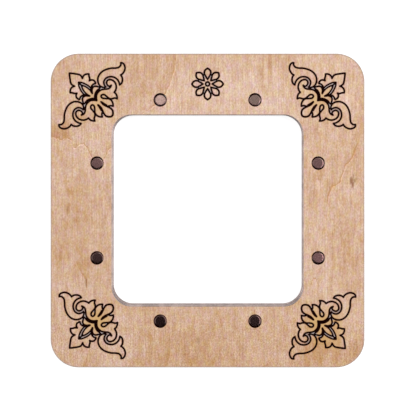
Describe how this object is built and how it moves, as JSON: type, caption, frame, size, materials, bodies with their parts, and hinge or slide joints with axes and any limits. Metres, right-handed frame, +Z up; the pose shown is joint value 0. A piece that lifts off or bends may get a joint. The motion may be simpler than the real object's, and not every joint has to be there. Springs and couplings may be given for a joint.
{
  "type": "magnetic embroidery frame",
  "caption": "Square embroidery frame of two flat plywood rings with rounded corners, held face to face over cloth by pairs of disc magnets set in round holes.",
  "frame": {"origin": "centre of the underside, on the surface that the closed frame lies on", "axes": "+Z up out of the engraved face, +Y to the top rail of the picture, +X to its right-hand rail"},
  "size_m": [0.2, 0.2, 0.008],
  "materials": {
    "engraved_face_veneer": "bare sanded birch with laser-engraved ornament",
    "face_veneer": "bare sanded birch",
    "core_veneer": "bare birch, laser-cut edge",
    "magnet": "nickel plate"
  },
  "bodies": {
    "lower_frame": {"lower_back_veneer": "face_veneer", "lower_core_veneer": "core_veneer", "lower_face_veneer": "face_veneer", "lower_magnet_north_1": "magnet", "lower_magnet_north_2": "magnet", "lower_magnet_west_1": "magnet", "lower_magnet_west_2": "magnet", "lower_magnet_south_1": "magnet", "lower_magnet_south_2": "magnet", "lower_magnet_east_1": "magnet", "lower_magnet_east_2": "magnet"},
    "upper_frame": {"upper_back_veneer": "face_veneer", "upper_core_veneer": "core_veneer", "upper_face_veneer": "engraved_face_veneer", "upper_magnet_north_1": "magnet", "upper_magnet_north_2": "magnet", "upper_magnet_west_1": "magnet", "upper_magnet_west_2": "magnet", "upper_magnet_south_1": "magnet", "upper_magnet_south_2": "magnet", "upper_magnet_east_1": "magnet", "upper_magnet_east_2": "magnet"}
  },
  "joints": [
    {"name": "upper_frame_lift", "type": "slide", "parent": "lower_frame", "child": "upper_frame", "axis": [0, 0, 1], "range_m": [0, 0.06]}
  ]
}
